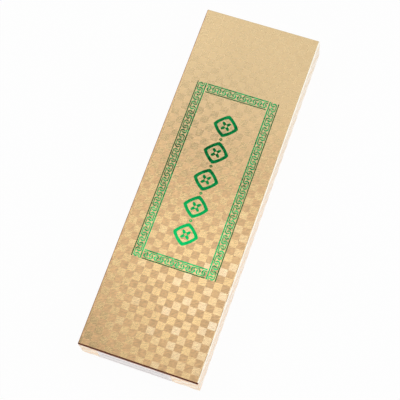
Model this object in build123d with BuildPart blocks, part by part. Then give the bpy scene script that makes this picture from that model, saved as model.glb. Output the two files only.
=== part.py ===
# Gift box of a chinese cleaver, closed, with the cleaver in its foam cradle.
# X runs across the box, Y along it with the labelled end at -Y, and Z up.
# The origin is at the centre of the tray's underside. Lengths are in millimetres.
import os
from math import cos, pi, sin

from build123d import *

os.makedirs("parts", exist_ok=True)

# sheet materials
board = 1.2
paper = 0.15
label_sheet = 0.1
stay_tape = 0.1
guard_card = 0.4

# box
crease_radius = 1.1  # folded top edges of the lid
corner_radius = 1.2  # upright corners of lid and tray
rim_lift = 1.0  # the lid stops this far above the table
headroom = 3.25  # lid above the handle
turn_in = 12.0  # paper turned in over a rim
stay_width = 18.0  # each wing of a corner stay
wrap_lift = 0.3  # the tray's paper band ends just above the scored edge
base_edge_radius = 0.6  # scored bottom edges of the tray

# fits
lid_fit = 0.5  # lid to tray, each side
foam_fit = 0.3  # cradle to tray, each side
blade_fit = 1.0  # cut-out to blade and guard, all round
handle_fit = 1.5  # cut-out to handle, all round
handle_floor_gap = 1.7  # handle above the tray's floor
seat_gap = 0.1  # blade above the lower sheet
guard_gap = 0.2  # guard to blade

# label on the near end: where it starts and stops across the end
label_left_share = 0.16
label_right_share = 0.77
label_margin = 0.6  # bare foil above and below the label

# foam cradle
foam_end_wall = 5.45
foam_side_wall = 3.9
foam_upper_sheet = 6.5
foam_corner = 3.0
pocket_corner = 4.0
foam_seam = 0.3  # between the glued strips and blocks of the upper layer
finger_room = 18.6  # scoop beyond the handle's cut-out, on its inner side
scoop_length = 28.0

# blade
blade_length = 220.0
blade_height = 100.0
blade_stock = 2.2
grind_height = 62.0  # ground part, up from the edge
edge_bevel = 1.6
behind_edge = 0.45  # thickness where the last bevel starts
spine_corner = 5.0  # rounded top corners at heel and tip
edge_corner = 1.5  # bottom corner at the tip
heel_corner = 2.5  # bottom corner at the heel
guard_depth = 16.0  # each flap of the card guard, up from the edge
guard_margin = 4.0  # bare edge at both ends of the guard
belly_stations_share = (0.0, 0.3, 0.6, 0.85, 1.0)
belly_rise_shares = (0.004, 0.0, 0.004, 0.018, 0.034)

# neck, bolster and handle
neck_length = 5.0  # bare steel between heel and bolster
neck_width = 20.0
choil_radius = 4.0
bolster_length = 12.0
bolster_front_width = 23.0
bolster_front_thickness = 9.0
bolster_front_corner = 4.0
bolster_flare_power = 1.5  # the flare steepens towards the handle
bolster_spans = 10  # straight spans along the flare
handle_length = 104.0
handle_width = 30.0
handle_thickness = 22.0
handle_corner_share = 0.44  # section corner radius, of the thickness
handle_stations_share = (0.0, 0.25, 0.55, 0.82, 1.0)
handle_width_shares = (0.90, 0.91, 1.0, 0.95, 1.01)
handle_thickness_shares = (0.86, 0.94, 1.0, 0.93, 0.97)
grip_spans = 4  # straight spans between two stations of the grip
handle_below_spine = 26.0  # handle axis below the spine
butt_round = 2.5
butt_spans = 4  # straight spans round the butt's edge
rivet_radius = 3.0
rivet_stations_share = (0.13, 0.5, 0.87)

# the cradle's outline follows from the cleaver and its guard
half_stock = blade_stock / 2
cleaver_length = blade_length + neck_length + bolster_length + handle_length
foam_length = foam_end_wall + handle_fit + cleaver_length + blade_fit + foam_end_wall
foam_width = (foam_side_wall + blade_fit + guard_card + guard_gap + blade_height
              + blade_fit + foam_side_wall)
foam_lower_sheet = handle_floor_gap + handle_thickness / 2 - half_stock - seat_gap
foam_split = board + foam_lower_sheet

# tray, from inside to outside
tray_mouth_width = foam_width + 2 * foam_fit
tray_mouth_length = foam_length + 2 * foam_fit
tray_room_width = tray_mouth_width + 2 * paper
tray_room_length = tray_mouth_length + 2 * paper
tray_board_width = tray_room_width + 2 * board
tray_board_length = tray_room_length + 2 * board
tray_width = tray_board_width + 2 * paper
tray_length = tray_board_length + 2 * paper
tray_wrap_bottom = base_edge_radius + wrap_lift

# lid, from inside to outside: the closed box measures 118 by 362 by 29.5
lid_mouth_width = tray_width + 2 * lid_fit
lid_mouth_length = tray_length + 2 * lid_fit
lid_room_width = lid_mouth_width + 2 * paper
lid_room_length = lid_mouth_length + 2 * paper
lid_board_width = lid_room_width + 2 * board
lid_board_length = lid_room_length + 2 * board
box_width = lid_board_width + 2 * paper
box_length = lid_board_length + 2 * paper
board_corner = corner_radius - paper

# cleaver, lying on the lower sheet with its handle towards the label
tip_y = foam_length / 2 - foam_end_wall - blade_fit
heel_y = tip_y - blade_length
bolster_y = heel_y - neck_length
handle_y = bolster_y - bolster_length
butt_y = handle_y - handle_length
spine_x = foam_width / 2 - foam_side_wall - blade_fit
edge_x = spine_x - blade_height
handle_x = spine_x - handle_below_spine
blade_bottom = foam_split + seat_gap
blade_z = blade_bottom + half_stock
blade_top = blade_z + half_stock

# heights of the lid, which rests on the tray's rim
tray_rim = blade_z + handle_thickness / 2 + headroom
tray_board_rim = tray_rim - paper
lid_underside = tray_rim
lid_board_top = lid_underside + board
box_height = lid_board_top + paper
lid_board_rim = rim_lift + paper


def rounded_block(width, length, bottom, top, corner, crease):
    """Upright block with rounded corners and rounded top edges."""
    with BuildPart() as block:
        with BuildSketch(Plane.XY.offset(bottom)):
            RectangleRounded(width, length, corner)
        extrude(amount=top - bottom)
        fillet(block.faces().sort_by(Axis.Z)[-1].edges(), crease)
    return block.part


def corner_stays(width, length, bottom, top):
    """Four folded strips of gummed paper, let into the outside of the board's corners."""
    with BuildPart() as stays:
        with BuildSketch(Plane.XY.offset(bottom)):
            RectangleRounded(width, length, board_corner)
            RectangleRounded(width - 2 * stay_tape, length - 2 * stay_tape,
                             board_corner - stay_tape, mode=Mode.SUBTRACT)
            Rectangle(width - 2 * stay_width, length, mode=Mode.SUBTRACT)
            Rectangle(width, length - 2 * stay_width, mode=Mode.SUBTRACT)
        extrude(amount=top - bottom)
    return stays.part


def upright_plane(x, y, z):
    """Plane square to the box's length, with local x across the box and local y up."""
    return Plane((x, y, z), x_dir=(1, 0, 0), z_dir=(0, -1, 0))


def grip_sections():
    """Place, inset, width share and thickness share of each section of the grip.

    The shares run on half cosines between the stations, and the insets of the last
    sections follow a quarter circle that rounds the butt.
    """
    rows = list(zip(handle_stations_share, handle_width_shares, handle_thickness_shares))
    sections = []
    for start, end in zip(rows, rows[1:]):
        for step in range(grip_spans):
            way = step / grip_spans
            swell = (1 - cos(pi * way)) / 2
            station, wide, thick = (a + (b - a) * part
                                    for a, b, part in zip(start, end, (way, swell, swell)))
            sections.append((handle_y - handle_length * station, 0, wide, thick))
    for step in range(butt_spans + 1):
        turn = pi / 2 * step / butt_spans
        sections.append((butt_y + butt_round * (1 - sin(turn)), butt_round * (1 - cos(turn)),
                         handle_width_shares[-1], handle_thickness_shares[-1]))
    return sections


# lid wrap: paper over the top and walls, folded under the rim and turned in
lid_outside = rounded_block(box_width, box_length, rim_lift, box_height,
                            corner_radius, crease_radius)
lid_core = rounded_block(lid_board_width, lid_board_length, lid_board_rim, lid_board_top,
                         board_corner, crease_radius - paper)
with BuildPart() as lid_wrap:
    add(lid_outside)
    add(lid_core, mode=Mode.SUBTRACT)
    with BuildSketch(Plane.XY.offset(rim_lift)):
        Rectangle(lid_mouth_width, lid_mouth_length)
    extrude(amount=paper, mode=Mode.SUBTRACT)
    with BuildSketch(Plane.XY.offset(lid_board_rim)):
        Rectangle(lid_room_width, lid_room_length)
        Rectangle(lid_mouth_width, lid_mouth_length, mode=Mode.SUBTRACT)
    extrude(amount=turn_in)
lid_wrap.part.label = "lid_wrap"
export_step(lid_wrap.part, "parts/lid_wrap.step")

# lid corner stays, from the rim up to the folded top edge
with BuildPart() as lid_corner_stays:
    add(corner_stays(lid_board_width, lid_board_length, lid_board_rim,
                     box_height - crease_radius))
lid_corner_stays.part.label = "lid_corner_stays"
export_step(lid_corner_stays.part, "parts/lid_corner_stays.step")

# lid board
with BuildPart() as lid_board:
    add(lid_core)
    with BuildSketch(Plane.XY.offset(lid_board_rim)):
        Rectangle(lid_room_width, lid_room_length)
    extrude(amount=lid_underside - lid_board_rim, mode=Mode.SUBTRACT)
    add(lid_corner_stays.part, mode=Mode.SUBTRACT)
lid_board.part.label = "lid_board"
export_step(lid_board.part, "parts/lid_board.step")

# label on the near end, between the folded edge and the rim
label_width = box_width * (label_right_share - label_left_share)
label_x = (box_width * (label_left_share + label_right_share) - box_width) / 2
label_bottom = rim_lift + label_margin
label_top = box_height - crease_radius - label_margin
with BuildPart() as end_label:
    with BuildSketch(upright_plane(label_x, -box_length / 2, (label_bottom + label_top) / 2)):
        Rectangle(label_width, label_top - label_bottom)
    extrude(amount=label_sheet)
end_label.part.label = "end_label"
export_step(end_label.part, "parts/end_label.step")

# tray corner stays
with BuildPart() as tray_corner_stays:
    add(corner_stays(tray_board_width, tray_board_length, tray_wrap_bottom, tray_board_rim))
tray_corner_stays.part.label = "tray_corner_stays"
export_step(tray_corner_stays.part, "parts/tray_corner_stays.step")

# tray board
with BuildPart() as tray_board:
    with BuildSketch():
        RectangleRounded(tray_board_width, tray_board_length, board_corner)
    extrude(amount=tray_board_rim)
    fillet(tray_board.faces().sort_by(Axis.Z)[0].edges(), base_edge_radius)
    with BuildSketch(Plane.XY.offset(board)):
        Rectangle(tray_room_width, tray_room_length)
    extrude(amount=tray_board_rim - board, mode=Mode.SUBTRACT)
    add(tray_corner_stays.part, mode=Mode.SUBTRACT)
tray_board.part.label = "tray_board"
export_step(tray_board.part, "parts/tray_board.step")

# tray wrap: band round the walls, folded over the rim and turned in above the cradle
with BuildPart() as tray_wrap:
    with BuildSketch(Plane.XY.offset(tray_wrap_bottom)):
        RectangleRounded(tray_width, tray_length, corner_radius)
        RectangleRounded(tray_board_width, tray_board_length, board_corner, mode=Mode.SUBTRACT)
    extrude(amount=tray_board_rim - tray_wrap_bottom)
    with BuildSketch(Plane.XY.offset(tray_board_rim)):
        RectangleRounded(tray_width, tray_length, corner_radius)
        Rectangle(tray_mouth_width, tray_mouth_length, mode=Mode.SUBTRACT)
    extrude(amount=paper)
    with BuildSketch(Plane.XY.offset(tray_board_rim - turn_in)):
        Rectangle(tray_room_width, tray_room_length)
        Rectangle(tray_mouth_width, tray_mouth_length, mode=Mode.SUBTRACT)
    extrude(amount=turn_in)
tray_wrap.part.label = "tray_wrap"
export_step(tray_wrap.part, "parts/tray_wrap.step")

# handle body: the grip swells, narrows and flares along its length
with BuildPart() as handle_body:
    for place, inset, wide, thick in grip_sections():
        section_thickness = handle_thickness * thick
        with BuildSketch(upright_plane(handle_x, place, blade_z)):
            RectangleRounded(handle_width * wide - 2 * inset, section_thickness - 2 * inset,
                             section_thickness * handle_corner_share - inset)
    loft(ruled=True)

with BuildPart() as rivet_rods:
    with BuildSketch(Plane.XY.offset(blade_z - handle_thickness)):
        with Locations([(handle_x, handle_y - handle_length * station)
                        for station in rivet_stations_share]):
            Circle(rivet_radius)
    extrude(amount=2 * handle_thickness)

# wedge of the blade: sections rise with the belly of the edge
with BuildPart() as wedge:
    for station, rise in zip(belly_stations_share, belly_rise_shares):
        edge = edge_x + blade_height * rise
        with BuildSketch(upright_plane(0, heel_y + blade_length * station, blade_z)):
            with BuildLine():
                Polyline((spine_x, half_stock), (edge + grind_height, half_stock),
                         (edge + edge_bevel, behind_edge / 2), (edge, 0),
                         (edge + edge_bevel, -behind_edge / 2),
                         (edge + grind_height, -half_stock), (spine_x, -half_stock), close=True)
            make_face()
    loft()

# tang, flush with the handle all round
with BuildPart() as tang:
    with BuildSketch(Plane.XY.offset(blade_bottom)):
        with Locations((handle_x, (handle_y + butt_y) / 2)):
            Rectangle(2 * handle_width, handle_length)
    extrude(amount=blade_stock)
    add(handle_body.part, mode=Mode.INTERSECT)

# blade with its neck, cut to one outline, and the tang
neck_left = handle_x - neck_width / 2
neck_right = handle_x + neck_width / 2
with BuildPart() as blade:
    with BuildSketch(Plane.XY.offset(blade_bottom)):
        with Locations((handle_x, (heel_y + handle_y) / 2)):
            Rectangle(neck_width + 2 * choil_radius, heel_y - handle_y)
    extrude(amount=blade_stock)
    add(wedge.part)
    with BuildSketch(Plane.XY.offset(blade_bottom)):
        with BuildLine():
            FilletPolyline((neck_right, handle_y), (neck_right, heel_y), (spine_x, heel_y),
                           (spine_x, tip_y), (edge_x, tip_y), (edge_x, heel_y),
                           (neck_left, heel_y), (neck_left, handle_y),
                           radius=[choil_radius, spine_corner, spine_corner, edge_corner,
                                   heel_corner, choil_radius])
            Line((neck_left, handle_y), (neck_right, handle_y))
        make_face()
    extrude(amount=blade_stock, mode=Mode.INTERSECT)
    add(tang.part)
    add(rivet_rods.part, mode=Mode.SUBTRACT)
blade.part.label = "blade"
export_step(blade.part, "parts/blade.step")

# bolster: collar that flares from the neck to the handle's front section
bolster_back_width = handle_width * handle_width_shares[0]
bolster_back_thickness = handle_thickness * handle_thickness_shares[0]
bolster_back_corner = bolster_back_thickness * handle_corner_share
with BuildPart() as bolster:
    for step in range(bolster_spans + 1):
        way = step / bolster_spans
        swell = way ** bolster_flare_power
        with BuildSketch(upright_plane(handle_x, bolster_y - bolster_length * way, blade_z)):
            RectangleRounded(
                bolster_front_width + (bolster_back_width - bolster_front_width) * swell,
                bolster_front_thickness
                + (bolster_back_thickness - bolster_front_thickness) * swell,
                bolster_front_corner + (bolster_back_corner - bolster_front_corner) * swell)
    loft(ruled=True)
    with BuildSketch(Plane.XY.offset(blade_bottom)):
        with Locations((handle_x, (bolster_y + handle_y) / 2)):
            Rectangle(neck_width, bolster_length)
    extrude(amount=blade_stock, mode=Mode.SUBTRACT)
bolster.part.label = "bolster"
export_step(bolster.part, "parts/bolster.step")

# handle scales on both sides of the tang
with BuildPart() as handle_scale_upper:
    add(handle_body.part)
    split(bisect_by=Plane.XY.offset(blade_top), keep=Keep.TOP)
    add(rivet_rods.part, mode=Mode.SUBTRACT)
handle_scale_upper.part.label = "handle_scale_upper"
export_step(handle_scale_upper.part, "parts/handle_scale_upper.step")

with BuildPart() as handle_scale_lower:
    add(handle_body.part)
    split(bisect_by=Plane.XY.offset(blade_bottom), keep=Keep.BOTTOM)
    add(rivet_rods.part, mode=Mode.SUBTRACT)
handle_scale_lower.part.label = "handle_scale_lower"
export_step(handle_scale_lower.part, "parts/handle_scale_lower.step")

# rivets, ground flush with the scales
with BuildPart() as handle_rivets:
    add(rivet_rods.part)
    add(handle_body.part, mode=Mode.INTERSECT)
handle_rivets.part.label = "handle_rivets"
export_step(handle_rivets.part, "parts/handle_rivets.step")

# card guard folded over the edge; its flaps lie along the ground faces
guard_nose = edge_x - guard_gap
nose_half = behind_edge / 2 + guard_gap
grind_slope = (half_stock - behind_edge / 2) / (grind_height - edge_bevel)
flap_half = behind_edge / 2 + grind_slope * (guard_depth - edge_bevel) + guard_gap
with BuildPart() as edge_guard:
    with BuildSketch(upright_plane(0, tip_y - guard_margin, blade_z)):
        with BuildLine():
            Polyline((edge_x + guard_depth, flap_half), (guard_nose, nose_half),
                     (guard_nose, -nose_half), (edge_x + guard_depth, -flap_half))
            offset(amount=guard_card, side=Side.RIGHT)
        make_face()
    extrude(amount=blade_length - 2 * guard_margin)
edge_guard.part.label = "edge_guard"
export_step(edge_guard.part, "parts/edge_guard.step")

# cradle cut-outs: the cleaver's outline and finger scoops beside the handle
handle_slot_width = handle_width * max(handle_width_shares) + 2 * handle_fit
handle_slot_end = butt_y - handle_fit
foam_near = -foam_length / 2
pocket_left = guard_nose - guard_card - blade_fit
pocket_right = spine_x + blade_fit
pocket_near = heel_y - blade_fit
pocket_far = tip_y + blade_fit
pocket_width = pocket_right - pocket_left
pocket_x = (pocket_left + pocket_right) / 2
scoop_left = handle_x - handle_slot_width / 2 - finger_room
scoop_x = (scoop_left + pocket_right) / 2
scoop_width = pocket_right - scoop_left
scoop_y = (handle_y + butt_y) / 2
block_seams_x = (scoop_left, handle_x - handle_slot_width / 2, handle_x + handle_slot_width / 2)

with BuildPart() as foam_lower:
    with BuildSketch(Plane.XY.offset(board)):
        RectangleRounded(foam_width, foam_length, foam_corner)
        with Locations((handle_x, (bolster_y + handle_fit + handle_slot_end) / 2)):
            RectangleRounded(handle_slot_width, bolster_y + handle_fit - handle_slot_end,
                             pocket_corner, mode=Mode.SUBTRACT)
        with Locations((scoop_x, scoop_y)):
            SlotOverall(scoop_width, scoop_length, mode=Mode.SUBTRACT)
    extrude(amount=foam_lower_sheet)
foam_lower.part.label = "foam_lower"
export_step(foam_lower.part, "parts/foam_lower.step")

# strips glued on the lower sheet: one along each side and one past the tip
with BuildPart() as foam_rails:
    with BuildSketch(Plane.XY.offset(foam_split)):
        RectangleRounded(foam_width, foam_length, foam_corner)
        with Locations((pocket_x, (foam_near + pocket_far) / 2)):
            Rectangle(pocket_width, pocket_far - foam_near, mode=Mode.SUBTRACT)
        with Locations([(pocket_left + foam_seam / 2, pocket_far),
                        (pocket_right - foam_seam / 2, pocket_far)]):
            Rectangle(foam_seam, 2 * foam_end_wall, mode=Mode.SUBTRACT)
    extrude(amount=foam_upper_sheet)
foam_rails.part.label = "foam_rails"
export_step(foam_rails.part, "parts/foam_rails.step")

# blocks round the handle: a broad one, two on each side and one behind the butt
with BuildPart() as foam_blocks:
    with BuildSketch(Plane.XY.offset(foam_split)):
        with Locations((pocket_x, (foam_near + pocket_near) / 2)):
            Rectangle(pocket_width - 2 * foam_seam, pocket_near - foam_near)
            with Locations([(seam_x - pocket_x, 0) for seam_x in block_seams_x]):
                Rectangle(foam_seam, pocket_near - foam_near, mode=Mode.SUBTRACT)
        with Locations((handle_x, (handle_slot_end + pocket_near) / 2)):
            Rectangle(handle_slot_width, pocket_near - handle_slot_end, mode=Mode.SUBTRACT)
        with Locations((scoop_x, scoop_y)):
            Rectangle(scoop_width, scoop_length, mode=Mode.SUBTRACT)
    extrude(amount=foam_upper_sheet)
foam_blocks.part.label = "foam_blocks"
export_step(foam_blocks.part, "parts/foam_blocks.step")
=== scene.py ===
import bpy
import numpy as np
from mathutils import Matrix, Vector


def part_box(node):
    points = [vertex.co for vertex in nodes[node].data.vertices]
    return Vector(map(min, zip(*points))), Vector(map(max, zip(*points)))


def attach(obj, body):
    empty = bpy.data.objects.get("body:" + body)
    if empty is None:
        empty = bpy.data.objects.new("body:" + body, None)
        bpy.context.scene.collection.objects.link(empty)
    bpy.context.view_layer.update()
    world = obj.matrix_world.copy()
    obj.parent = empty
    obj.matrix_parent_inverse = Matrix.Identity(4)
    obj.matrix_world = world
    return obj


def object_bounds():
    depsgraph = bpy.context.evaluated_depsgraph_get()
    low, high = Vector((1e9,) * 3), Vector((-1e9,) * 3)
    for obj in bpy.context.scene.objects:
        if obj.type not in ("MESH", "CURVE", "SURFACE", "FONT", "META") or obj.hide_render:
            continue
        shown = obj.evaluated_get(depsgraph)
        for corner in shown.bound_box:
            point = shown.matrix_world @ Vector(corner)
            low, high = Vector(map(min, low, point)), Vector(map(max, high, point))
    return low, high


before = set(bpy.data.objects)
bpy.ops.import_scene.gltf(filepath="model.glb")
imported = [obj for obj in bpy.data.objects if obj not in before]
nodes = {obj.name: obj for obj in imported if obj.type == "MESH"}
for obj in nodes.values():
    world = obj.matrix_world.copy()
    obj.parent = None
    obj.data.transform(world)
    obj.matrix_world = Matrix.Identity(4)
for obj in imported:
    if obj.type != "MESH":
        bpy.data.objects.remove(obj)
cadLow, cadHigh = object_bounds()
mm = 0.001
lidTop = cadHigh.z
print("frame loaded, closed box", [round(v / mm, 1) for v in cadHigh - cadLow], "mm")


def toLinear(hexText, alpha=1.0):  # sRGB hex to the linear colour that the sockets take
    parts = [int(hexText[i:i + 2], 16) / 255 for i in (0, 2, 4)]
    return [p / 12.92 if p <= 0.04045 else ((p + 0.055) / 1.055) ** 2.4 for p in parts] + [alpha]


def addNode(tree, kind, inputs=None, **settings):  # inputs take plain values or sockets to link
    made = tree.nodes.new("ShaderNode" + kind)
    for key, value in settings.items():
        setattr(made, key, value)
    for key, value in (inputs or {}).items():
        if isinstance(value, bpy.types.NodeSocket):
            tree.links.new(value, made.inputs[key])
        else:
            made.inputs[key].default_value = value
    return made


def startMaterial(name):  # empty node tree and the object's own coordinates, in metres
    material = bpy.data.materials.new(name)
    material.use_nodes = True
    tree = material.node_tree
    tree.nodes.clear()
    return material, tree, addNode(tree, "TexCoord").outputs["Object"]


def endMaterial(tree, inputs):  # one Principled shader into the output
    shader = addNode(tree, "BsdfPrincipled", inputs)
    addNode(tree, "OutputMaterial", {"Surface": shader.outputs[0]})


def dress(names, material):
    for name in names:
        nodes[name].data.materials.clear()
        nodes[name].data.materials.append(material)


# camera, worked out from the corners of the lid and of the near end
camera = {
    "placeMm": (203.4, -375.0, 1175.4),
    "forward": (-0.1657, 0.2969, -0.9404),
    "up": (-0.2955, 0.8948, 0.3345),
    "lens": 115.36,
    "sensor": 36.0,
}


def buildCamera(c):
    forward = Vector(c["forward"]).normalized()
    right = forward.cross(Vector(c["up"])).normalized()
    up = right.cross(forward)
    data = bpy.data.cameras.new("photoCamera")
    data.lens, data.sensor_width = c["lens"], c["sensor"]
    data.clip_start, data.clip_end = 0.05, 30
    made = bpy.data.objects.new("photoCamera", data)
    turned = Matrix((right, up, -forward)).transposed().to_4x4()
    made.matrix_world = Matrix.Translation(Vector(c["placeMm"]) * mm) @ turned
    bpy.context.scene.collection.objects.link(made)
    bpy.context.scene.camera = made


buildCamera(camera)
print("camera placed")

# gold foil paper on the lid
foilPaper = {
    "smoothGold": "f4d198",
    "mattGold": "f0c58f",
    # painted light: towards the far end the paper is drawn paler and more even, standing in for its brighter reflection
    # there; the far end looks paler and more even, by light or by lacquer: the picture doesn't say which
    "farGold": "ebcb98",
    "fadeMm": (0.0, 110.0),
    "acrossMm": 7.54,   # embossed check, square size across the box
    "alongMm": 7.40,    # and along it
    "startAcrossMm": 3.0 - 59.0,
    "startAlongMm": -181.0 - 0.1,
    "wallMm": 0.7,      # how near the outside a point counts as a wall
    "hatchMm": 0.9,     # the real hatch is about 0.3 mm, drawn coarser so that it shows
    "grainMm": 1.15,     # silk grain under the foil, drawn coarser too
    "grainLonger": 2.5,
    "grainTurn": 25.0,  # degrees from across the box
    "grainAndGlintLevels": (0.75, 0.20),  # how much the grain shows in the colour's brightness, near end and far end: partly the grain's own tone, partly painted glints
    "smooth": (0.16, 0.18),  # roughness of a smooth square, from grain to grain
    "matt": (0.43, 0.49),    # and of a matt one
    "fold": 0.2,             # and of the burnished fold along each top edge
    "foldMm": 1.0,
    # lines along the folds, painted reflections: the right one a white painted highlight, the left one dull and the
    # near one brown as painted dark reflections; each is axis, side, width and colour
    "paintedFoldLines": (("X", 1, 1.2, "fbf2e2"), ("X", -1, 1.0, "a8743f"), ("Y", -1, 1.5, "74300c")),
    "cellLevels": (0.96, 1.06),  # how much the squares differ from one another
    "glintSquare": "f6e9d6",          # paler smooth squares, most of them near the right: painted highlights
    "glintSquareFrom": (0.7, 1.4),    # where chance and place together start and stop the painted highlight on a square
    "glintSquareMost": 0.6,
    "glintSquareRight": 0.4,          # how much the right edge adds to the chance
    "glintSquareMm": (-90.0, -10.0),  # full up to here from the near end, and none from here on
    "cloudMm": 110.0,            # broad unevenness of the lacquer
    "cloudLevels": (0.96, 1.04),
    "hatchHeight": 0.15,         # of the hatch, against the grain's
}


def goldFoilPaper(p):
    # aluminised paper under a clear gold lacquer, embossed with a check by a heated roll:
    # every other square is left smoother, so it mirrors the lamps while its neighbours scatter
    material, tree, place = startMaterial("gold_aluminised_paper_embossed")
    axes = addNode(tree, "SeparateXYZ", {0: place}).outputs
    below = addNode(tree, "Math", {0: lidTop, 1: axes["Z"]}, operation="SUBTRACT").outputs[0]
    counts = []
    for axis, half, size, start in (("X", cadHigh.x, p["acrossMm"], p["startAcrossMm"]),
                                    ("Y", cadHigh.y, p["alongMm"], p["startAlongMm"])):
        # on a wall the pattern runs on down the side, as the folded sheet's does
        away = addNode(tree, "Math", {0: axes[axis]}, operation="ABSOLUTE").outputs[0]
        wall = addNode(tree, "Math", {0: away, 1: half - p["wallMm"] * mm},
                       operation="GREATER_THAN").outputs[0]
        side = addNode(tree, "Math", {0: axes[axis]}, operation="SIGN").outputs[0]
        step = addNode(tree, "Math", {0: side, 1: wall}, operation="MULTIPLY").outputs[0]
        flat = addNode(tree, "Math", {0: step, 1: below, 2: axes[axis]},
                       operation="MULTIPLY_ADD").outputs[0]
        moved = addNode(tree, "Math", {0: flat, 1: start * mm}, operation="SUBTRACT").outputs[0]
        counts.append(addNode(tree, "Math", {0: moved, 1: size * mm}, operation="DIVIDE").outputs[0])
    sheet = addNode(tree, "CombineXYZ", {"X": counts[0], "Y": counts[1], "Z": 0.5}).outputs[0]
    check = addNode(tree, "TexChecker", {"Vector": sheet, "Scale": 1.0}).outputs["Fac"]
    slant = addNode(tree, "Math", {0: counts[0], 1: counts[1]}, operation="ADD").outputs[0]
    turns = 2 * np.pi * p["acrossMm"] / p["hatchMm"]
    angle = addNode(tree, "Math", {0: slant, 1: turns}, operation="MULTIPLY").outputs[0]
    hatch = addNode(tree, "Math", {0: angle}, operation="SINE").outputs[0]
    silk = addNode(tree, "Mapping", {"Vector": place, "Rotation": (0, 0, np.radians(p["grainTurn"])),
                                     "Scale": (p["grainLonger"], 1.0, 1.0)}, vector_type="TEXTURE").outputs[0]
    grain = addNode(tree, "TexNoise", {"Vector": silk, "Scale": 1 / (p["grainMm"] * mm), "Detail": 1.0}).outputs["Fac"]
    finish = [addNode(tree, "MapRange", {0: grain, 1: 0.35, 2: 0.65, 3: p[kind][0], 4: p[kind][1]}).outputs[0]
              for kind in ("matt", "smooth")]
    flatRough = addNode(tree, "Mix", {0: check, 2: finish[0], 3: finish[1]}, data_type="FLOAT").outputs[0]
    # the fold is where the surface has left the flat top by more than a hair
    fold = addNode(tree, "MapRange", {0: below, 1: 0.02 * mm, 2: 0.1 * mm}).outputs[0]
    high = addNode(tree, "Math", {0: below, 1: p["foldMm"] * mm}, operation="LESS_THAN").outputs[0]
    burnish = addNode(tree, "Math", {0: fold, 1: high}, operation="MULTIPLY").outputs[0]
    rough = addNode(tree, "Mix", {0: burnish, 2: flatRough, 3: p["fold"]}, data_type="FLOAT").outputs[0]
    tone = addNode(tree, "Mix", {0: check, 6: toLinear(p["mattGold"]), 7: toLinear(p["smoothGold"])},
                   data_type="RGBA").outputs[2]
    far = addNode(tree, "MapRange", {0: axes["Y"], 1: p["fadeMm"][0] * mm, 2: p["fadeMm"][1] * mm}).outputs[0]
    cloud = addNode(tree, "TexNoise", {"Vector": place, "Scale": 1 / (p["cloudMm"] * mm), "Detail": 2.0}).outputs["Fac"]
    broad = addNode(tree, "MapRange", {0: cloud, 1: 0.3, 2: 0.7, 3: p["cloudLevels"][0],
                                       4: p["cloudLevels"][1]}).outputs[0]
    # grain mottling in the brightness, strong at the near end and faint at the far end: partly grain, partly painted
    # glints
    glint = addNode(tree, "MapRange", {0: far, 3: p["grainAndGlintLevels"][0], 4: p["grainAndGlintLevels"][1]}).outputs[0]
    centred = addNode(tree, "Math", {0: grain, 1: 0.5}, operation="SUBTRACT").outputs[0]
    value = addNode(tree, "Math", {0: centred, 1: glint, 2: broad}, operation="MULTIPLY_ADD").outputs[0]
    # painted highlights: some smooth squares near the right and the near end are drawn paler
    cell = addNode(tree, "VectorMath", {0: sheet}, operation="FLOOR").outputs[0]
    chance = addNode(tree, "TexWhiteNoise", {"Vector": cell}).outputs["Value"]
    right = addNode(tree, "Math", {0: axes["X"], 1: p["glintSquareRight"] / cadHigh.x, 2: chance},
                    operation="MULTIPLY_ADD").outputs[0]
    glintShare = addNode(tree, "MapRange", {0: right, 1: p["glintSquareFrom"][0], 2: p["glintSquareFrom"][1],
                                      4: p["glintSquareMost"]}).outputs[0]
    near = addNode(tree, "MapRange", {0: axes["Y"], 1: p["glintSquareMm"][0] * mm, 2: p["glintSquareMm"][1] * mm,
                                      3: 1.0, 4: 0.0}).outputs[0]
    nearGlintShare = addNode(tree, "Math", {0: glintShare, 1: near}, operation="MULTIPLY").outputs[0]
    pale = addNode(tree, "Math", {0: nearGlintShare, 1: check}, operation="MULTIPLY").outputs[0]
    glinted = addNode(tree, "Mix", {0: pale, 6: tone, 7: toLinear(p["glintSquare"])}, data_type="RGBA").outputs[2]
    # painted light: towards the far end the colour pales to farGold and the squares even out
    faded = addNode(tree, "Mix", {0: far, 6: glinted, 7: toLinear(p["farGold"])}, data_type="RGBA").outputs[2]
    pressed = addNode(tree, "MapRange", {0: chance, 3: p["cellLevels"][0], 4: p["cellLevels"][1]}).outputs[0]
    evened = addNode(tree, "Mix", {0: far, 2: pressed, 3: 1.0}, data_type="FLOAT").outputs[0]
    level = addNode(tree, "Math", {0: value, 1: evened}, operation="MULTIPLY").outputs[0]
    colour = addNode(tree, "HueSaturation", {"Color": faded, "Value": level}).outputs[0]
    # painted reflections on the folds: a white highlight along the right fold, dark lines along the left and near folds
    for axis, side, widthMm, hue in p["paintedFoldLines"]:
        reach = {"X": cadHigh.x, "Y": cadHigh.y}[axis]
        out = addNode(tree, "Math", {0: axes[axis], 1: side}, operation="MULTIPLY").outputs[0]
        outer = addNode(tree, "Math", {0: out, 1: reach - widthMm * mm}, operation="GREATER_THAN").outputs[0]
        foldLine = addNode(tree, "Math", {0: outer, 1: high}, operation="MULTIPLY").outputs[0]
        colour = addNode(tree, "Mix", {0: foldLine, 6: colour, 7: toLinear(hue)}, data_type="RGBA").outputs[2]
    ribs = addNode(tree, "Math", {0: hatch, 1: check}, operation="MULTIPLY").outputs[0]
    height = addNode(tree, "Math", {0: ribs, 1: p["hatchHeight"], 2: grain}, operation="MULTIPLY_ADD").outputs[0]
    relief = addNode(tree, "Bump", {"Strength": 0.3, "Distance": 0.01 * mm, "Height": height}).outputs[0]
    endMaterial(tree, {"Base Color": colour, "Metallic": 1.0, "Roughness": rough, "Normal": relief,
                       "Coat Weight": 1.0, "Coat Roughness": 0.3})
    return material


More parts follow.
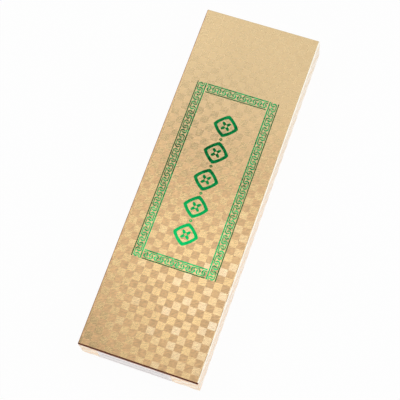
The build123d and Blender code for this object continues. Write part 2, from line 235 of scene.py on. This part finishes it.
dress(["lid_wrap"], goldFoilPaper(foilPaper))
print("gold paper on")

# board, papers and tape
sheets = {
    "board": {"white": "e6e3da", "speck": "cfc9bb", "fibreMm": 1.6, "lengthen": 4.0},
    "tape": {"pale": "b99467", "dark": "9c774b", "fibreMm": 0.5, "lengthen": 10.0},
    "paper": {"pale": "f4f2ed", "dark": "ebe8e1", "fibreMm": 0.7},
    "card": {"pale": "bd9a68", "dark": "a3804f", "fibreMm": 0.8, "lengthen": 6.0},
}


def whiteLinedGreyboard(p):
    # grey pulp board with a white liner: matt, with pale fibres and a few grey specks
    material, tree, place = startMaterial("white_lined_greyboard")
    longer = addNode(tree, "Mapping", {"Vector": place, "Scale": (1.0, 1 / p["lengthen"], 1.0)}).outputs[0]
    fibre = addNode(tree, "TexNoise", {"Vector": longer, "Scale": 1 / (p["fibreMm"] * mm),
                                       "Detail": 4.0}).outputs["Fac"]
    speck = addNode(tree, "TexVoronoi", {"Vector": place, "Scale": 1 / (3.0 * mm)}).outputs["Distance"]
    rare = addNode(tree, "MapRange", {0: speck, 1: 0.04, 2: 0.09, 3: 0.7, 4: 0.0}).outputs[0]
    soft = addNode(tree, "MapRange", {0: fibre, 1: 0.35, 2: 0.7, 3: 0.0, 4: 0.45}).outputs[0]
    much = addNode(tree, "Math", {0: rare, 1: soft}, operation="MAXIMUM").outputs[0]
    tone = addNode(tree, "Mix", {0: much, 6: toLinear(p["white"]), 7: toLinear(p["speck"])},
                   data_type="RGBA").outputs[2]
    relief = addNode(tree, "Bump", {"Strength": 0.4, "Distance": 0.03 * mm, "Height": fibre}).outputs[0]
    endMaterial(tree, {"Base Color": tone, "Roughness": 0.82, "Normal": relief})
    return material


def kraftPaper(name, p, roughness):
    # unbleached pulp, calendered: long fibres lie along the machine direction and darken it in streaks
    material, tree, place = startMaterial(name)
    longer = addNode(tree, "Mapping", {"Vector": place, "Scale": (1.0, 1 / p["lengthen"], 1.0)}).outputs[0]
    fibre = addNode(tree, "TexNoise", {"Vector": longer, "Scale": 1 / (p["fibreMm"] * mm), "Detail": 5.0,
                                       "Distortion": 0.4}).outputs["Fac"]
    cloud = addNode(tree, "TexNoise", {"Vector": place, "Scale": 1 / (9 * mm), "Detail": 2.0}).outputs["Fac"]
    both = addNode(tree, "Math", {0: fibre, 1: 0.7, 2: cloud}, operation="MULTIPLY_ADD").outputs[0]
    share = addNode(tree, "MapRange", {0: both, 1: 0.6, 2: 1.1}).outputs[0]
    tone = addNode(tree, "Mix", {0: share, 6: toLinear(p["dark"]), 7: toLinear(p["pale"])},
                   data_type="RGBA").outputs[2]
    relief = addNode(tree, "Bump", {"Strength": 0.5, "Distance": 0.03 * mm, "Height": fibre}).outputs[0]
    endMaterial(tree, {"Base Color": tone, "Roughness": roughness, "Normal": relief})
    return material


def woodFreePaper(p):
    # uncoated white paper: near white, with a faint cloudy formation
    material, tree, place = startMaterial("white_wood_free_paper")
    fine = addNode(tree, "TexNoise", {"Vector": place, "Scale": 1 / (p["fibreMm"] * mm), "Detail": 4.0}).outputs["Fac"]
    cloud = addNode(tree, "TexNoise", {"Vector": place, "Scale": 1 / (6 * mm), "Detail": 2.0}).outputs["Fac"]
    share = addNode(tree, "Math", {0: fine, 1: cloud}, operation="MULTIPLY").outputs[0]
    spread = addNode(tree, "MapRange", {0: share, 1: 0.1, 2: 0.4}).outputs[0]
    tone = addNode(tree, "Mix", {0: spread, 6: toLinear(p["dark"]), 7: toLinear(p["pale"])},
                   data_type="RGBA").outputs[2]
    relief = addNode(tree, "Bump", {"Strength": 0.3, "Distance": 0.01 * mm, "Height": fine}).outputs[0]
    endMaterial(tree, {"Base Color": tone, "Roughness": 0.72, "Normal": relief})
    return material


dress(["lid_board", "tray_board"], whiteLinedGreyboard(sheets["board"]))
dress(["lid_corner_stays", "tray_corner_stays"], kraftPaper("gummed_kraft_tape", sheets["tape"], 0.6))
dress(["tray_wrap"], woodFreePaper(sheets["paper"]))
dress(["edge_guard"], kraftPaper("folded_kraft_card", sheets["card"], 0.78))
print("board and papers on")

# label on the near end: bare but for two plain grey rules
label = {
    "sheet": "efebed",
    "rule": "6a686e",
    "rulesMm": (19.1, 6.0),  # height of each rule above the table
    "ruleMm": 0.8,
    "marginMm": 4.0,         # bare paper at both ends of a rule
}


def coatedLabelPaper(p):
    # clay-coated label paper with offset print: half matt, with soft-edged grey rules
    material, tree, place = startMaterial("coated_label_paper")
    low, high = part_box("end_label")
    axes = addNode(tree, "SeparateXYZ", {0: place}).outputs
    middle, reach = (low.x + high.x) / 2, (high.x - low.x) / 2 - p["marginMm"] * mm
    inside = addNode(tree, "Math", {0: axes["X"], 1: middle, 2: reach}, operation="COMPARE").outputs[0]
    rules = [addNode(tree, "Math", {0: axes["Z"], 1: at * mm, 2: p["ruleMm"] / 2 * mm},
                     operation="COMPARE").outputs[0] for at in p["rulesMm"]]
    either = addNode(tree, "Math", {0: rules[0], 1: rules[1]}, operation="MAXIMUM").outputs[0]
    ink = addNode(tree, "Math", {0: inside, 1: either}, operation="MULTIPLY").outputs[0]
    fine = addNode(tree, "TexNoise", {"Vector": place, "Scale": 1 / (0.5 * mm), "Detail": 3.0}).outputs["Fac"]
    worn = addNode(tree, "MapRange", {0: fine, 1: 0.2, 2: 0.6, 3: 0.75, 4: 1.0}).outputs[0]
    cover = addNode(tree, "Math", {0: ink, 1: worn}, operation="MULTIPLY").outputs[0]
    tone = addNode(tree, "Mix", {0: cover, 6: toLinear(p["sheet"]), 7: toLinear(p["rule"])},
                   data_type="RGBA").outputs[2]
    relief = addNode(tree, "Bump", {"Strength": 0.2, "Distance": 0.005 * mm, "Height": fine}).outputs[0]
    endMaterial(tree, {"Base Color": tone, "Roughness": 0.42, "Normal": relief})
    return material


dress(["end_label"], coatedLabelPaper(label))
print("label printed")

# foam cradle
foam = {"pale": "f6f6f2", "pore": "dcdcd6", "cellMm": 1.1, "depthMm": 0.12}


def polyethyleneFoam(p):
    # closed-cell polyethylene foam, skived from a plank: cut cells show as a fine pitted skin
    material, tree, place = startMaterial("expanded_polyethylene_foam")
    cell = addNode(tree, "TexVoronoi", {"Vector": place, "Scale": 1 / (p["cellMm"] * mm)},
                   feature="SMOOTH_F1").outputs["Distance"]
    small = addNode(tree, "TexVoronoi", {"Vector": place, "Scale": 2.3 / (p["cellMm"] * mm)}).outputs["Distance"]
    pit = addNode(tree, "Math", {0: small, 1: 0.35, 2: cell}, operation="MULTIPLY_ADD").outputs[0]
    share = addNode(tree, "MapRange", {0: pit, 1: 0.15, 2: 0.75}).outputs[0]
    # the sunken pits take the darker pore colour: painted shade in the recesses
    tone = addNode(tree, "Mix", {0: share, 6: toLinear(p["pore"]), 7: toLinear(p["pale"])},
                   data_type="RGBA").outputs[2]
    relief = addNode(tree, "Bump", {"Strength": 0.6, "Distance": p["depthMm"] * mm, "Height": pit}).outputs[0]
    endMaterial(tree, {"Base Color": tone, "Roughness": 0.65, "Normal": relief})
    return material


dress([name for name in nodes if name.startswith("foam_")], polyethyleneFoam(foam))
print("foam on")

# steel of the blade, bolster and rivets
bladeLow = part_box("blade")[0]
steel = {
    "ground": "c4c4c3",
    "bright": "dededc",
    "lineMm": 0.35,     # grinding lines are about 0.05 mm apart, drawn coarser so that they show
    "lineLongMm": 60.0,
    "bevelMm": 1.7,     # last bevel, up from the edge
    "groundMm": 62.0,   # ground part, up from the edge
}
rivet = {"metal": "d4d4d2", "ringMm": 0.35, "radiusMm": 3.0}


def groundSteel(p):
    # stainless steel ground square to the edge on a belt: lines run from spine to edge,
    # and the whetted bevel is brighter and smoother
    material, tree, place = startMaterial("ground_stainless_steel")
    lines = addNode(tree, "Mapping", {"Vector": place,
                                      "Scale": (p["lineMm"] / p["lineLongMm"], 1.0, 0.2)}).outputs[0]
    fine = addNode(tree, "TexNoise", {"Vector": lines, "Scale": 1 / (p["lineMm"] * mm), "Detail": 4.0}).outputs["Fac"]
    broad = addNode(tree, "TexNoise", {"Vector": lines, "Scale": 0.12 / (p["lineMm"] * mm), "Detail": 2.0}).outputs["Fac"]
    across = addNode(tree, "SeparateXYZ", {0: place}).outputs["X"]
    bevel = addNode(tree, "MapRange", {0: across, 1: bladeLow.x + p["bevelMm"] * mm,
                                       2: bladeLow.x + (p["bevelMm"] + 0.3) * mm, 3: 1.0, 4: 0.0}).outputs[0]
    flat = addNode(tree, "MapRange", {0: across, 1: bladeLow.x + p["groundMm"] * mm,
                                      2: bladeLow.x + (p["groundMm"] + 1.0) * mm}).outputs[0]
    mixed = addNode(tree, "Math", {0: fine, 1: 0.6, 2: broad}, operation="MULTIPLY_ADD").outputs[0]
    share = addNode(tree, "MapRange", {0: mixed, 1: 0.55, 2: 1.05}).outputs[0]
    tone = addNode(tree, "Mix", {0: share, 6: toLinear(p["ground"]), 7: toLinear(p["bright"])},
                   data_type="RGBA").outputs[2]
    belt = addNode(tree, "MapRange", {0: fine, 1: 0.3, 2: 0.7, 3: 0.26, 4: 0.4}).outputs[0]
    satin = addNode(tree, "MapRange", {0: fine, 1: 0.3, 2: 0.7, 3: 0.2, 4: 0.26}).outputs[0]
    upper = addNode(tree, "Mix", {0: flat, 2: belt, 3: satin}, data_type="FLOAT").outputs[0]
    rough = addNode(tree, "Mix", {0: bevel, 2: upper, 3: 0.12}, data_type="FLOAT").outputs[0]
    relief = addNode(tree, "Bump", {"Strength": 0.35, "Distance": 0.01 * mm, "Height": fine}).outputs[0]
    endMaterial(tree, {"Base Color": tone, "Metallic": 1.0, "Roughness": rough, "Normal": relief})
    return material


def polishedSteel():
    # forged collar, mirror polished on a wheel: clear reflections with hairlines round it
    material, tree, place = startMaterial("polished_stainless_steel")
    around = addNode(tree, "Mapping", {"Vector": place, "Scale": (0.04, 1.0, 0.04)}).outputs[0]
    hair = addNode(tree, "TexNoise", {"Vector": around, "Scale": 1 / (0.25 * mm), "Detail": 3.0}).outputs["Fac"]
    rough = addNode(tree, "MapRange", {0: hair, 1: 0.35, 2: 0.75, 3: 0.08, 4: 0.2}).outputs[0]
    tone = addNode(tree, "Mix", {0: hair, 6: toLinear("c9c9c7"), 7: toLinear("dcdcda")}, data_type="RGBA").outputs[2]
    relief = addNode(tree, "Bump", {"Strength": 0.15, "Distance": 0.005 * mm, "Height": hair}).outputs[0]
    endMaterial(tree, {"Base Color": tone, "Metallic": 1.0, "Roughness": rough, "Normal": relief})
    return material


def turnedSteel(p):
    # rivet heads faced on a lathe and ground flush: faint rings about each axis
    material, tree, place = startMaterial("turned_stainless_steel")
    low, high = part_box("handle_rivets")
    axes = addNode(tree, "SeparateXYZ", {0: place}).outputs
    pitch = ((high.y - low.y) - 2 * p["radiusMm"] * mm) / 2
    first = low.y + p["radiusMm"] * mm
    along = addNode(tree, "Math", {0: axes["Y"], 1: first + pitch / 2, 2: first - pitch / 2},
                    operation="WRAP").outputs[0]
    dx = addNode(tree, "Math", {0: axes["X"], 1: (low.x + high.x) / 2}, operation="SUBTRACT").outputs[0]
    dy = addNode(tree, "Math", {0: along, 1: first}, operation="SUBTRACT").outputs[0]
    offset = addNode(tree, "CombineXYZ", {"X": dx, "Y": dy}).outputs[0]
    far = addNode(tree, "VectorMath", {0: offset}, operation="LENGTH").outputs["Value"]
    angle = addNode(tree, "Math", {0: far, 1: 2 * np.pi / (p["ringMm"] * mm)}, operation="MULTIPLY").outputs[0]
    ring = addNode(tree, "Math", {0: angle}, operation="SINE").outputs[0]
    rough = addNode(tree, "MapRange", {0: ring, 1: -1.0, 2: 1.0, 3: 0.14, 4: 0.28}).outputs[0]
    relief = addNode(tree, "Bump", {"Strength": 0.2, "Distance": 0.01 * mm, "Height": ring}).outputs[0]
    endMaterial(tree, {"Base Color": toLinear(p["metal"]), "Metallic": 1.0, "Roughness": rough, "Normal": relief})
    return material


dress(["blade"], groundSteel(steel))
dress(["bolster"], polishedSteel())
dress(["handle_rivets"], turnedSteel(rivet))
print("steel ground")

# handle
wood = {"dark": "1f110c", "brown": "4b2a1b", "layerMm": 0.9, "grainMm": 0.35, "grainLongMm": 14.0}


def laminatedPakkawood(p):
    # resin-soaked birch veneers pressed into a block: dark layers lie flat in the handle, so the
    # shaping cuts them into contour lines, and short pores run along the grip
    material, tree, place = startMaterial("laminated_pakkawood")
    axes = addNode(tree, "SeparateXYZ", {0: place}).outputs
    bend = addNode(tree, "TexNoise", {"Vector": place, "Scale": 1 / (22 * mm), "Detail": 1.0}).outputs["Fac"]
    level = addNode(tree, "Math", {0: bend, 1: 1.1 * mm, 2: axes["Z"]}, operation="MULTIPLY_ADD").outputs[0]
    angle = addNode(tree, "Math", {0: level, 1: 2 * np.pi / (2 * p["layerMm"] * mm)}, operation="MULTIPLY").outputs[0]
    wave = addNode(tree, "Math", {0: angle}, operation="SINE").outputs[0]
    layer = addNode(tree, "MapRange", {0: wave, 1: -0.45, 2: 0.45}, interpolation_type="SMOOTHSTEP").outputs[0]
    long = addNode(tree, "Mapping", {"Vector": place, "Scale": (1.0, p["grainMm"] / p["grainLongMm"], 1.0)}).outputs[0]
    pores = addNode(tree, "TexNoise", {"Vector": long, "Scale": 1 / (p["grainMm"] * mm), "Detail": 4.0}).outputs["Fac"]
    pore = addNode(tree, "MapRange", {0: pores, 1: 0.38, 2: 0.55}).outputs[0]
    share = addNode(tree, "Math", {0: layer, 1: pore}, operation="MULTIPLY").outputs[0]
    tone = addNode(tree, "Mix", {0: share, 6: toLinear(p["dark"]), 7: toLinear(p["brown"])},
                   data_type="RGBA").outputs[2]
    rough = addNode(tree, "MapRange", {0: pore, 3: 0.5, 4: 0.3}).outputs[0]
    relief = addNode(tree, "Bump", {"Strength": 0.3, "Distance": 0.03 * mm, "Height": pore}).outputs[0]
    endMaterial(tree, {"Base Color": tone, "Roughness": rough, "Normal": relief, "Coat Weight": 0.3,
                       "Coat Roughness": 0.18})
    return material


dress(["handle_scale_upper", "handle_scale_lower"], laminatedPakkawood(wood))
print("handle finished")


def slab(columnMm, rowMm, filled, lowMm, highMm):
    # every filled cell of a grid of lines becomes a raised block; blocks share their walls' corners,
    # so the slab is closed: tops, undersides and a wall wherever the next cell is bare
    rows = len(rowMm)
    level = len(columnMm) * rows
    i, j = np.nonzero(filled)
    corner = lambda di, dj, up: (i + di) * rows + (j + dj) + up * level
    quads = [np.stack([corner(0, 0, 1), corner(1, 0, 1), corner(1, 1, 1), corner(0, 1, 1)], 1),
             np.stack([corner(0, 0, 0), corner(0, 1, 0), corner(1, 1, 0), corner(1, 0, 0)], 1)]
    padded = np.pad(filled, 1)
    for step, first, second in (((1, 0), (1, 0), (1, 1)), ((-1, 0), (0, 1), (0, 0)),
                                ((0, 1), (1, 1), (0, 1)), ((0, -1), (0, 0), (1, 0))):
        bare = ~padded[i + 1 + step[0], j + 1 + step[1]]
        wall = [corner(*first, 0), corner(*second, 0), corner(*second, 1), corner(*first, 1)]
        quads.append(np.stack(wall, 1)[bare])
    used, faces = np.unique(np.concatenate(quads), return_inverse=True)
    points = np.zeros((len(used), 3))
    points[:, 0] = np.asarray(columnMm)[used % level // rows]
    points[:, 1] = np.asarray(rowMm)[used % rows]
    points[:, 2] = np.where(used < level, lowMm, highMm)
    return points, faces.reshape(-1, 4)


def band(outerMm, innerMm, lowMm, highMm):
    # flat ring between two closed curves with the same number of points, both anticlockwise
    count = len(outerMm)
    points = np.zeros((4, count, 3))
    points[:, :, :2] = outerMm, innerMm, outerMm, innerMm
    points[:2, :, 2], points[2:, :, 2] = lowMm, highMm
    here = np.arange(count)
    then = (here + 1) % count
    quads = [np.stack([a * count + here, a * count + then, b * count + then, b * count + here], 1)
             for a, b in ((0, 2), (2, 3), (3, 1), (1, 0))]
    return points.reshape(-1, 3), np.concatenate(quads)


def joinedMesh(name, parts, material, body):  # parts are pairs of points in mm and quads
    starts = np.cumsum([0] + [len(points) for points, faces in parts[:-1]])
    points = np.concatenate([points for points, faces in parts]) * mm
    faces = np.concatenate([part[1] + start for part, start in zip(parts, starts)])
    mesh = bpy.data.meshes.new(name)
    mesh.from_pydata(points.tolist(), [], faces.tolist())
    mesh.materials.append(material)
    made = bpy.data.objects.new(name, mesh)
    bpy.context.scene.collection.objects.link(made)
    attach(made, body)
    return made


# green hot-stamped frame with a fret between two lines
stamp = {
    # deep and fresh green, and the range of roughness, for one foil drawn in three tones: the darker outer rule is
    # painted shade
    "foils": {
        "flower": ("07a657", "10c069", (0.07, 0.13)),
        "fret": ("047a46", "16d884", (0.08, 0.14)),
        "rule": ("00683a", "068048", (0.12, 0.22)),
    },
    "halfWidthMm": 42.1,
    "nearMm": -85.2,
    "farMm": 103.8,
    "barMm": 9.75,
    "cornerGapMm": 1.0,      # between the upright bars and the cross bars
    "outerLineMm": 1.0,
    "innerLineMm": 1.25,
    "lineGapMm": 0.25,       # between a line and the fret
    "strokeMm": 0.94,        # of the fret, the gaps between take what is left
    "motifMm": 10.5,         # one upright and one inverted key
    "lowMm": -0.01,          # under and over the paper
    "highMm": 0.02,
    # half a key, walked from cell to cell: (column, row) from the middle of the upright key
    "keyPath": ((7, 1), (2, 1), (2, 3), (1, 3), (1, 5), (2, 5), (2, 7)),
}


def greenFoil(kind, deep, fresh, roughness):
    # pigmented hot-stamping foil, burnished flat by the die, so it mirrors more than the paper does
    material, tree, place = startMaterial("green_hot_stamp_foil_" + kind)
    wave = addNode(tree, "TexNoise", {"Vector": place, "Scale": 1 / (3.0 * mm), "Detail": 3.0}).outputs["Fac"]
    share = addNode(tree, "MapRange", {0: wave, 1: 0.35, 2: 0.65}).outputs[0]
    tone = addNode(tree, "Mix", {0: share, 6: toLinear(deep), 7: toLinear(fresh)}, data_type="RGBA").outputs[2]
    rough = addNode(tree, "MapRange", {0: wave, 1: 0.3, 2: 0.7, 3: roughness[0], 4: roughness[1]}).outputs[0]
    relief = addNode(tree, "Bump", {"Strength": 0.2, "Distance": 0.02 * mm, "Height": wave}).outputs[0]
    endMaterial(tree, {"Base Color": tone, "Metallic": 1.0, "Roughness": rough, "Normal": relief})
    return material


def fretTile(path):
    # one repeat of the fret, 16 cells long and 11 across: the walked half key, its mirror image,
    # and both again turned half round for the inverted key
    half = np.zeros((8, 11), bool)
    for (c0, r0), (c1, r1) in zip(path, path[1:]):
        half[min(c0, c1):max(c0, c1) + 1, min(r0, r1):max(r0, r1) + 1] = True
    half |= half[::-1, ::-1]
    return np.concatenate([half, half[::-1]])


def buildStampFrame(p):
    tile = fretTile(p["keyPath"])
    stroke = p["strokeMm"]
    fretMm = p["barMm"] - p["outerLineMm"] - p["innerLineMm"] - 2 * p["lineGapMm"]
    gap = (fretMm - 5 * stroke) / 6
    steps = [p["outerLineMm"], p["lineGapMm"]] + [gap, stroke] * 5 + [gap, p["lineGapMm"], p["innerLineMm"]]
    acrossMm = np.cumsum([0] + steps)
    pieces = {"rule": [], "fret": []}
    reach = p["halfWidthMm"]
    crossMm = 2 * (reach - p["barMm"] - p["cornerGapMm"])
    for upright, side, startMm, lengthMm in ((True, -1, p["nearMm"], p["farMm"] - p["nearMm"]),
                                             (True, 1, p["nearMm"], p["farMm"] - p["nearMm"]),
                                             (False, -1, -crossMm / 2, crossMm),
                                             (False, 1, -crossMm / 2, crossMm)):
        repeats = round(lengthMm / p["motifMm"])
        cells = np.tile(tile, (repeats, 1))
        # the outer line is a piece of its own, the fret and the inner line make the other
        covers = {kind: np.zeros((len(cells), 15), bool) for kind in pieces}
        covers["rule"][:, 0] = covers["fret"][:, 14] = True
        covers["fret"][:, 2:13] = cells
        # columns that hold an upright stroke are wider than the rest
        between = lengthMm / repeats / 8 - stroke
        columns = np.tile([between, stroke, stroke, between], 4 * repeats)
        alongMm = startMm + np.cumsum(np.append(0, columns))
        for kind, filled in covers.items():
            if upright:
                # outer line on the outside, so the right bar is the left one mirrored
                lines = -reach + acrossMm if side < 0 else (reach - acrossMm)[::-1]
                cover = filled.T if side < 0 else filled.T[::-1]
                made = slab(lines, alongMm, cover, p["lowMm"], p["highMm"])
            else:
                # both cross bars have their thick line on the far side
                lines = (p["nearMm"] if side < 0 else p["farMm"] - p["barMm"]) + acrossMm
                made = slab(alongMm, lines, filled, p["lowMm"], p["highMm"])
            made[0][:, 2] += lidTop / mm
            pieces[kind].append(made)
    for kind, parts in pieces.items():
        joinedMesh("stamp_" + kind, parts, greenFoil(kind, *p["foils"][kind]), "lid")


# column of five lozenge flowers inside the frame
flowers = {
    "count": 5,
    "pitchMm": 29.0,
    "middleMm": 8.0,
    "halfMm": (12.5, 11.8),     # lozenge, across and along
    "strokeMm": 2.5,
    "power": 1.25,             # between a rhombus at 1 and an ellipse at 2
    "petalMm": 5.6,
    "eyeMm": 1.3,
    "budMm": 1.7,
    "points": 96,
}


def lozenge(halfX, halfY, power, turn):  # superellipse: |x/a|^p + |y/b|^p = 1
    c, s = np.cos(turn), np.sin(turn)
    return np.stack([halfX * np.sign(c) * np.abs(c) ** (2 / power),
                     halfY * np.sign(s) * np.abs(s) ** (2 / power)], 1)


def buildFlowers(p):
    turn = np.linspace(0, 2 * np.pi, p["points"], endpoint=False)
    round_ = np.stack([np.cos(turn), np.sin(turn)], 1)
    halfX, halfY = p["halfMm"]
    stroke = p["strokeMm"]
    rose = p["petalMm"] * (0.68 + 0.32 * np.cos(4 * turn + np.pi))  # four petals on the diagonals
    shapes = [(lozenge(halfX, halfY, p["power"], turn),
               lozenge(halfX - 1.5 * stroke, halfY - 1.5 * stroke, p["power"], turn)),
              (rose[:, None] * round_, p["eyeMm"] * round_)]
    places = (np.arange(p["count"]) - (p["count"] - 1) / 2) * p["pitchMm"] + p["middleMm"]
    low, high = lidTop / mm + stamp["lowMm"], lidTop / mm + stamp["highMm"]
    parts = [band(outer + (0, at), inner + (0, at), low, high) for at in places for outer, inner in shapes]
    bud = lozenge(p["budMm"], p["budMm"], p["power"], turn)
    parts += [band(bud + (0, at), 0.3 * bud + (0, at), low, high) for at in (places[1:] + places[:-1]) / 2]
    joinedMesh("stamp_flowers", parts, greenFoil("flower", *stamp["foils"]["flower"]), "lid")


buildStampFrame(stamp)
buildFlowers(flowers)
print("stamp on")

# studio: white table, pale room with soft panels, placed so that the lid mirrors light
# and shade where it does in the picture
studio = {
    "floorMm": 9000.0,
    "shadow": 0.04,      # share of the table that shows shade
    "room": 0.85,
    "lampLight": "fffcf8",
    "daylight": "f4fbff",    # cooler light from the far side
    "daylightFrom": (0.25, 0.65),
    # each panel: slope bounds across and along from straight up, softness, level
    "panels": (
        ((None, -1.2), (None, None), 0.25, 0.60),       # left wall
        ((-1.2, -0.35), (0.29, 1.0), 0.05, 2.30),       # ceiling light on the left
        ((-0.7, 0.7), (-3.0, 0.04), 0.08, 0.06),        # dark room behind the camera
        ((None, None), (None, -3.0), 0.60, 2.40),       # low light from the front
        ((0.5, 2.5), (0.2, 0.9), 0.15, 1.50),           # window on the right
        ((2.0, None), (-3.0, 3.0), 0.60, 1.10),         # low light from the right
        ((-0.35, 0.10), (0.43, 0.55), 0.02, 0.97),      # far ceiling
        ((-0.235, -0.155), (0.325, 0.40), 0.02, 0.12),  # gap between ceiling lights
        ((-0.38, -0.227), (-0.05, 0.28), 0.015, 0.15),  # shade near the left edge
        ((-0.36, -0.20), (-0.05, 0.18), 0.02, 0.06),    # and the dark corner in it
        ((-0.226, -0.12), (0.192, 0.30), 0.012, 1.45),  # softbox
    ),
}


def buildTable(p):
    half = p["floorMm"] / 2 * mm
    mesh = bpy.data.meshes.new("table")
    mesh.from_pydata([(-half, -half, 0), (half, -half, 0), (half, half, 0), (-half, half, 0)], [], [(0, 1, 2, 3)])
    table = bpy.data.objects.new("table", mesh)
    bpy.context.scene.collection.objects.link(table)
    # white laminate, lit out to white for the camera but for the object's soft shadow
    material, tree, place = startMaterial("white_laminate_table")
    path = addNode(tree, "LightPath").outputs
    matt = addNode(tree, "BsdfDiffuse", {"Color": toLinear("fafafa")}).outputs[0]
    white = addNode(tree, "Emission", {"Color": toLinear("ffffff"), "Strength": 1.0}).outputs[0]
    mirrored = addNode(tree, "Math", {0: path["Is Glossy Ray"], 1: path["Is Transmission Ray"]},
                       operation="MAXIMUM").outputs[0]
    bright = addNode(tree, "Math", {0: path["Is Camera Ray"], 1: 1 - p["shadow"], 2: mirrored},
                     operation="MULTIPLY_ADD").outputs[0]
    both = addNode(tree, "MixShader", {0: bright, 1: matt, 2: white}).outputs[0]
    addNode(tree, "OutputMaterial", {"Surface": both})
    mesh.materials.append(material)


def buildRoom(p):
    world = bpy.data.worlds.new("paleRoom")
    bpy.context.scene.world = world
    world.use_nodes = True
    tree = world.node_tree
    tree.nodes.clear()
    path = addNode(tree, "LightPath").outputs
    axes = addNode(tree, "SeparateXYZ", {0: addNode(tree, "TexCoord").outputs["Generated"]}).outputs
    rise = addNode(tree, "Math", {0: axes["Z"], 1: 0.02}, operation="MAXIMUM").outputs[0]
    slopes = [addNode(tree, "Math", {0: axes[axis], 1: rise}, operation="DIVIDE").outputs[0] for axis in "XY"]
    level = p["room"]
    for across, along, soft, bright in p["panels"]:
        cover = 1.0
        for slope, bounds in zip(slopes, (across, along)):
            for at, side in zip(bounds, (1, -1)):
                if at is not None:
                    edge = addNode(tree, "MapRange", {0: slope, 1: at - side * soft, 2: at + side * soft},
                                   interpolation_type="SMOOTHSTEP").outputs[0]
                    cover = addNode(tree, "Math", {0: cover, 1: edge}, operation="MULTIPLY").outputs[0]
        level = addNode(tree, "Mix", {0: cover, 2: level, 3: bright}, data_type="FLOAT").outputs[0]
    cool = addNode(tree, "MapRange", {0: slopes[1], 1: p["daylightFrom"][0], 2: p["daylightFrom"][1]},
                   interpolation_type="SMOOTHSTEP").outputs[0]
    tint = addNode(tree, "Mix", {0: cool, 6: toLinear(p["lampLight"]), 7: toLinear(p["daylight"])},
                   data_type="RGBA").outputs[2]
    room = addNode(tree, "Background", {"Color": tint, "Strength": level}).outputs[0]
    plain = addNode(tree, "Background", {"Color": toLinear("ffffff"), "Strength": 1.0}).outputs[0]
    both = addNode(tree, "MixShader", {0: path["Is Camera Ray"], 1: room, 2: plain}).outputs[0]
    addNode(tree, "OutputWorld", {"Surface": both})


buildTable(studio)
buildRoom(studio)
bpy.context.scene.view_settings.view_transform = "Standard"
print("studio lit")
